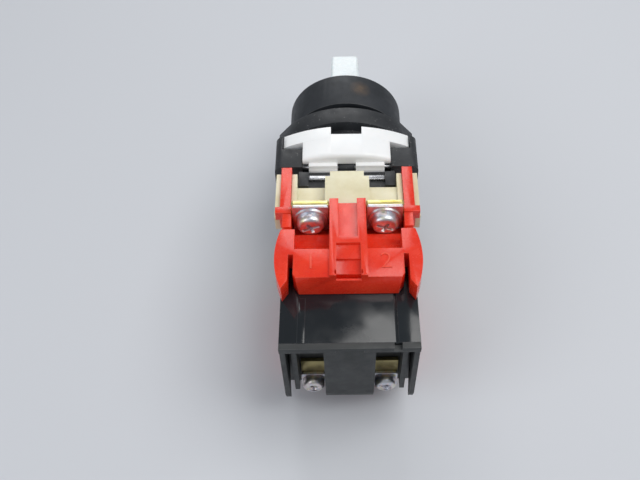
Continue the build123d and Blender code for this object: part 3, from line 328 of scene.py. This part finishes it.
bright_steel = polished_metal(
    "bright_steel", ((0.3, (0.42, 0.43, 0.45)), (0.7, (0.64, 0.65, 0.67))), (0.22, 0.4), stretch=0.15
)
deburred("click_spring", 0.05, [bright_steel])
deburred("rotor_clip", 0.06, [bright_steel])

# --- Handle ---------------------------------------------------------------------------------
# The lever handle is one moulding in milky polycarbonate, hollow behind so that the lamp
# lights it from inside. It snaps on to the rotor and turns with it.
handle_milky = moulded_plastic(
    "handle_milky", (0.77, 0.83, 0.85), (0.80, 0.855, 0.875), (0.22, 0.36), 0.004, 140.0,
    0.5, (0.85, 0.95, 1.0),
)
deburred("handle", 0.3, [handle_milky], segments=3)

# --- Mounting adaptor -----------------------------------------------------------------------
# The black housing between the operator and the contact blocks. Its hoop surrounds the ring
# nut, its bay holds the locking lever, and its frame carries blocks on both sides.
adaptor_nylon = moulded_plastic(
    "adaptor_nylon", (0.014, 0.016, 0.019), (0.030, 0.033, 0.038), (0.4, 0.6), 0.03
)
# Lighter grey for the broken edges of the adaptor and lamp carrier: a painted highlight.
adaptor_edge_highlight = moulded_plastic(
    "adaptor_edge_highlight", (0.04, 0.042, 0.045), (0.09, 0.092, 0.095), (0.45, 0.6), 0.02
)
scuffs = adaptor_nylon.node_tree
scuff_mix = scuffs.nodes.new("ShaderNodeMix")
scuff_mix.data_type = "RGBA"
scuff_mix.inputs["B"].default_value = (0.15, 0.15, 0.15, 1)
scuff_edge = scuffs.nodes.new("ShaderNodeMapRange")
scuff_edge.inputs["From Min"].default_value, scuff_edge.inputs["From Max"].default_value = 0.66, 0.78
plain_tone = scuffs.nodes["Principled BSDF"].inputs["Base Color"].links[0].from_node
wire_up(
    scuffs,
    ((noise(scuffs, 1500.0, 2.0), "Fac"), (scuff_edge, "Value")),
    ((scuff_edge, "Result"), (scuff_mix, "Factor")),
    ((plain_tone, "Color"), (scuff_mix, "A")),
    ((scuff_mix, "Result"), (scuffs.nodes["Principled BSDF"], "Base Color")),
)
deburred("adaptor_housing", 0.12, [adaptor_nylon, adaptor_edge_highlight])

# --- Locking lever, its pin and strip spring ------------------------------------------------
# The white acetal lever turns on a steel pin through its two round feet and locks the adaptor
# to the operator. A flat steel strip behind the feet holds it down until it is lifted.
lever_acetal = moulded_plastic(
    "lever_acetal", (0.90, 0.92, 0.93), (0.93, 0.94, 0.95), (0.28, 0.42), 0.005, 130.0,
    0.25, (0.9, 0.95, 1.0),
)
deburred("lever_pin", 0.12, [bright_steel])
deburred("lever_strip", 0.05, [bright_steel])
deburred("locking_lever", 0.28, [lever_acetal], segments=3)

# --- Carrier, lamp socket and lamp ----------------------------------------------------------
# A black carrier between the contact blocks holds the plated bayonet socket. The lamp has a
# nickelled cap and a frosted bulb, and a brass plunger on a spring touches its foot.
nickel = polished_metal("nickel", ((0.3, (0.58, 0.56, 0.52)), (0.7, (0.76, 0.74, 0.70))), (0.14, 0.26))
brass = polished_metal(
    "brass", ((0.3, (0.30, 0.25, 0.11)), (0.7, (0.52, 0.44, 0.20)), (0.52, (0.40, 0.34, 0.16))), (0.3, 0.46)
)
bulb_glass = moulded_plastic("bulb_glass", (0.82, 0.82, 0.78), (0.88, 0.88, 0.84), (0.12, 0.2), 0.001)
bulb_glass.node_tree.nodes["Principled BSDF"].inputs["Transmission Weight"].default_value = 0.7
deburred("lamp_carrier", 0.1, [adaptor_nylon, adaptor_edge_highlight])
deburred("lamp_socket", 0.04, [nickel])
deburred("lamp_base", 0.05, [nickel])
deburred("lamp_bulb", 0, [bulb_glass])
deburred("centre_contact", 0.08, [brass])
deburred("centre_contact_spring", 0, [bright_steel])

# --- Contact blocks: base, cover and terminal numbers ---------------------------------------
# Both blocks are equal, one above and one below. The base is cream nylon, the cover is red
# polycarbonate with the terminal numbers raised on its two flat panels.
base_nylon = moulded_plastic(
    "base_nylon", (0.68, 0.62, 0.40), (0.82, 0.78, 0.58), (0.34, 0.48), 0.006, 120.0, 0.2, (1.0, 0.85, 0.55)
)
cover_red = moulded_plastic(
    "cover_red", (0.74, 0.028, 0.010), (0.86, 0.050, 0.018), (0.2, 0.34), 0.006, 120.0,
    0.12, (1.0, 0.15, 0.05),
)
# Paler red for the broken edges of the cover and the raised numbers: a painted highlight.
cover_highlight = moulded_plastic(
    "cover_highlight", (0.84, 0.075, 0.04), (0.92, 0.12, 0.075), (0.2, 0.3), 0.004, 120.0, 0.12, (1.0, 0.2, 0.08)
)
panel_middle_x, panel_middle_y, panel_z = 8.2, 53.4, 19.4
digit_size, digit_rise, digit_bevel, digit_thinning = 5.9, 0.18, 0.03, -0.12


def raised_digit(level, digit, side, turn):
    """One terminal number on a number panel; turn is 0 above and half a turn below."""
    bpy.ops.object.select_all(action="DESELECT")
    bpy.ops.object.text_add(location=(0, 0, 0))
    lettering = bpy.context.object
    lettering.data.body = digit
    lettering.data.size = digit_size * MM
    lettering.data.align_x = "CENTER"
    lettering.data.align_y = "CENTER"
    lettering.data.extrude = digit_rise * MM
    lettering.data.bevel_depth = digit_bevel * MM
    lettering.data.offset = digit_thinning * MM
    bpy.ops.object.convert(target="MESH")
    number = bpy.context.object
    number.name = f"{level}_number_{digit}"
    number.rotation_euler = (0, 0, pi)
    number.location = Vector((side * panel_middle_x * MM, panel_middle_y * MM, panel_z * MM))
    bpy.ops.object.transform_apply(location=True, rotation=True, scale=True)
    if turn:
        number.rotation_euler = (0, pi, 0)
        bpy.ops.object.transform_apply(location=False, rotation=True, scale=False)
    # The raised numbers take the paler red of the painted highlight.
    number.data.materials.clear()
    number.data.materials.append(cover_highlight)
    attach(number, "housing")


for level in ("upper", "lower"):
    deburred(f"{level}_contact_base", 0.14, [base_nylon])
    deburred(f"{level}_contact_cover", 0.16, [cover_red, cover_highlight])
    raised_digit(level, "1", 1, level == "lower")
    raised_digit(level, "2", -1, level == "lower")

# --- Contact blocks: terminals, washers and screws ------------------------------------------
# The bent terminals, square washers and pan head screws are steel with yellow passivated zinc,
# which drifts from silver to pink, blue and straw. Each head has a cross recess.
passivated_zinc = polished_metal(
    "passivated_zinc",
    (
        (0.30, (0.78, 0.70, 0.42)), (0.74, (0.84, 0.78, 0.52)), (0.40, (0.76, 0.76, 0.74)),
        (0.48, (0.80, 0.68, 0.68)), (0.55, (0.66, 0.70, 0.80)), (0.63, (0.78, 0.78, 0.75)),
    ),
    (0.34, 0.5), 420.0, 0.006,
)
strip_zinc = polished_metal(
    "strip_zinc", ((0.3, (0.62, 0.50, 0.14)), (0.7, (0.84, 0.76, 0.34))), (0.26, 0.42), 380.0
)


def select_where(piece, kind, wanted):
    """Select the faces, edges or verts of the piece whose centre passes the test, in edit mode."""
    bpy.ops.object.mode_set(mode="EDIT")
    bpy.ops.mesh.select_mode(type={"polygons": "FACE", "edges": "EDGE", "vertices": "VERT"}[kind])
    bpy.ops.mesh.select_all(action="DESELECT")
    bpy.ops.object.mode_set(mode="OBJECT")
    points = piece.data.vertices
    for item in getattr(piece.data, kind):
        if kind == "polygons":
            chosen = wanted(item.center, item.normal)
        elif kind == "edges":
            ends = [points[index].co for index in item.vertices]
            chosen = wanted((ends[0] + ends[1]) / 2, ends[1] - ends[0])
        else:
            chosen = wanted(item.co, item.normal)
        item.select = chosen
    bpy.ops.object.mode_set(mode="EDIT")


def pan_head_screw(name, node, place, head_d, head_t, shank_d, shank_len, material):
    """A pan head screw that faces +Y with its head seated at place, in millimetres."""
    bpy.ops.object.select_all(action="DESELECT")
    bpy.ops.mesh.primitive_cylinder_add(
        vertices=48, radius=head_d / 2 * MM, depth=head_t * MM, location=(0, 0, head_t / 2 * MM)
    )
    screw = bpy.context.object
    screw.name = name
    bpy.ops.object.transform_apply(location=True, rotation=True, scale=True)
    # Dome the head: its top edge is rounded over most of the head's height
    select_where(screw, "polygons", lambda centre, normal: normal.z > 0.9)
    bpy.ops.mesh.region_to_loop()
    bpy.ops.mesh.bevel(offset=head_t * 0.56 * MM, segments=6, profile=0.55, affect="EDGES")
    # Shank with rolled thread rings, drawn out of the underside of the head
    select_where(screw, "polygons", lambda centre, normal: normal.z < -0.9)
    bpy.ops.mesh.inset(thickness=(head_d - shank_d) / 2 * MM)
    pitch = 0.6
    move = {"constraint_axis": (False, False, True)}
    bpy.ops.mesh.extrude_region_move(TRANSFORM_OT_translate={"value": (0, 0, -0.4 * MM), **move})
    depth = 0.4
    while depth < shank_len - pitch:
        for factor in (0.86, 1 / 0.86):
            depth += pitch / 2
            bpy.ops.mesh.extrude_region_move(
                TRANSFORM_OT_translate={"value": (0, 0, -pitch / 2 * MM), **move}
            )
            bpy.ops.transform.resize(
                value=(factor, factor, 1), center_override=(0, 0, -depth * MM)
            )
    bpy.ops.mesh.extrude_region_move(
        TRANSFORM_OT_translate={"value": (0, 0, -(shank_len - depth) * MM), **move}
    )
    bpy.ops.transform.resize(value=(0.7, 0.7, 1), center_override=(0, 0, -shank_len * MM))
    bpy.ops.object.mode_set(mode="OBJECT")
    # Cross recess: two tapered cuts, the longer one a driver slot, their floors at different depths
    for length, width, turned, middle in (
        (head_d * 0.84, head_d * 0.16, 0, 0.98), (head_d * 0.6, head_d * 0.17, pi / 2, 0.93)
    ):
        bpy.ops.object.select_all(action="DESELECT")
        bpy.ops.mesh.primitive_cube_add(size=1.0, location=(0, 0, 0))
        cutter = bpy.context.object
        cutter.scale = (length * MM, width * MM, head_t * MM)
        cutter.location = (0, 0, head_t * middle * MM)
        cutter.rotation_euler = (0, 0, turned)
        bpy.ops.object.transform_apply(location=True, rotation=True, scale=True)
        select_where(cutter, "polygons", lambda centre, normal: normal.z < -0.9)
        bpy.ops.transform.resize(value=(0.62, 0.62, 1), center_override=(0, 0, 0))
        bpy.ops.object.mode_set(mode="OBJECT")
        bpy.ops.object.select_all(action="DESELECT")
        screw.select_set(True)
        bpy.context.view_layer.objects.active = screw
        recess = screw.modifiers.new("recess", "BOOLEAN")
        recess.operation = "DIFFERENCE"
        recess.solver = "EXACT"
        recess.object = cutter
        bpy.ops.object.modifier_apply(modifier="recess")
        bpy.data.objects.remove(cutter, do_unlink=True)
    rounding = screw.modifiers.new("rounding", "BEVEL")
    rounding.width = 0.03 * MM
    rounding.segments = 2
    rounding.angle_limit = radians(40)
    bpy.ops.object.modifier_apply(modifier="rounding")
    screw.rotation_euler = (-pi / 2, radians(24) * (1 if place[0] > 0 else -1), 0)
    screw.location = Vector(place) * MM
    bpy.ops.object.transform_apply(location=True, rotation=True, scale=True)
    bpy.ops.object.shade_smooth_by_angle(angle=radians(38))
    return finish_piece(screw, node, [material])


screw_x, screw_z, head_seat = 8.5, 17.0, 40.2
head_d, head_t, shank_d, shank_len = 6.2, 2.3, 3.2, 4.8
for level, half_turn in (("upper", 1), ("lower", -1)):
    for end in ("1", "2"):
        deburred(f"{level}_terminal_{end}", 0.08, [strip_zinc])
    deburred(f"{level}_terminal_washers", 0.14, [passivated_zinc])
    for side in (1, -1):
        pan_head_screw(
            f"{level}_terminal_screw_{'1' if side * half_turn > 0 else '2'}", f"{level}_terminal_screws",
            (side * screw_x, head_seat, half_turn * screw_z),
            head_d, head_t, shank_d, shank_len, passivated_zinc,
        )

# --- Contact blocks: plungers, bridges and springs ------------------------------------------
# Inside each base a cream plunger rides on the face cam of the rotor. It carries a brass
# bridge with silver contacts, and a coil spring behind it keeps its nose on the cam.
for level in ("upper", "lower"):
    deburred(f"{level}_plunger", 0.08, [base_nylon])
    deburred(f"{level}_contact_bridge", 0.05, [brass])
    spring = frame["nodes"][f"{level}_plunger_spring"]
    spring.data.materials.clear()
    spring.data.materials.append(bright_steel)

# --- Transformer case -----------------------------------------------------------------------
# A glossy black box behind the contact blocks with a flat roof over its terminals. The roof
# has a raised strip on one side and a narrow groove on the other.
case_gloss = moulded_plastic(
    "case_gloss", (0.009, 0.012, 0.015), (0.014, 0.018, 0.022), (0.1, 0.22), 0.002, 60.0
)
# Lighter black for the broken edges of the case: a painted highlight.
case_edge_highlight = moulded_plastic(
    "case_edge_highlight", (0.03, 0.034, 0.038), (0.06, 0.064, 0.068), (0.2, 0.3), 0.002, 60.0
)
deburred("transformer_case", 0.14, [case_gloss, case_edge_highlight])

# --- Terminal frame -------------------------------------------------------------------------
# The matte black frame closes the case from behind. It forms the lip, the barrier between the
# two terminals, the ribs beside them and the thin pointed wings outside.
frame_matte = moulded_plastic(
    "frame_matte", (0.028, 0.031, 0.032), (0.044, 0.048, 0.049), (0.5, 0.66), 0.02
)
# Lighter grey for the broken edges of the frame: a painted highlight.
frame_edge_highlight = moulded_plastic(
    "frame_edge_highlight", (0.06, 0.062, 0.063), (0.11, 0.112, 0.113), (0.5, 0.6), 0.02
)
deburred("terminal_frame", 0.1, [frame_matte, frame_edge_highlight])

# --- Transformer terminals ------------------------------------------------------------------
# Two dull brass plates lie flat on the wall of the terminal bay. Each has a square washer and
# a smaller pan head screw in yellow passivated zinc.
rear_x, rear_z, rear_seat = 8.5, -10.2, 66.8
rear_head_d, rear_head_t, rear_shank_d, rear_shank_len = 5.2, 2.2, 2.6, 3.3
for side in ("left", "right"):
    deburred(f"rear_terminal_{side}", 0.08, [brass])
deburred("rear_terminal_washers", 0.1, [passivated_zinc])
for side in (1, -1):
    pan_head_screw(
        f"rear_terminal_screw_{'left' if side > 0 else 'right'}", "rear_terminal_screws",
        (side * rear_x, rear_seat, rear_z),
        rear_head_d, rear_head_t, rear_shank_d, rear_shank_len, passivated_zinc,
    )

# --- Transformer core, bobbin and windings --------------------------------------------------
# A stack of thin silicon steel sheets carries a nylon bobbin with two windings of enamelled
# copper wire, one above the other.


def ruled(material, axis, lines_per_metre, depth):
    """Rule a material with fine parallel ridges across one axis, as wire turns or stacked sheets."""
    tree = material.node_tree
    bands = tree.nodes.new("ShaderNodeTexWave")
    bands.wave_type = "BANDS"
    bands.bands_direction = axis
    bands.inputs["Scale"].default_value = lines_per_metre
    bands.inputs["Distortion"].default_value = 0.3
    place = tree.nodes.new("ShaderNodeTexCoord")
    ridge = tree.nodes.new("ShaderNodeBump")
    ridge.inputs["Strength"].default_value = 0.9
    ridge.inputs["Distance"].default_value = depth * MM
    wire_up(
        tree,
        ((place, "Object"), (bands, "Vector")),
        ((bands, "Fac"), (ridge, "Height")),
        ((ridge, "Normal"), (tree.nodes["Principled BSDF"], "Normal")),
    )
    return material


core_sheets = ruled(
    polished_metal("core_sheets", ((0.3, (0.16, 0.16, 0.17)), (0.7, (0.28, 0.28, 0.29))), (0.35, 0.5)),
    "Y", 640.0, 0.05,
)
enamelled_wire = ruled(
    polished_metal("enamelled_wire", ((0.3, (0.42, 0.12, 0.03)), (0.7, (0.68, 0.28, 0.09))), (0.2, 0.34)),
    "Z", 900.0, 0.1,
)
deburred("core", 0.1, [core_sheets])
deburred("bobbin", 0.1, [base_nylon])
deburred("primary_winding", 0.4, [enamelled_wire], segments=3)
deburred("secondary_winding", 0.4, [enamelled_wire], segments=3)
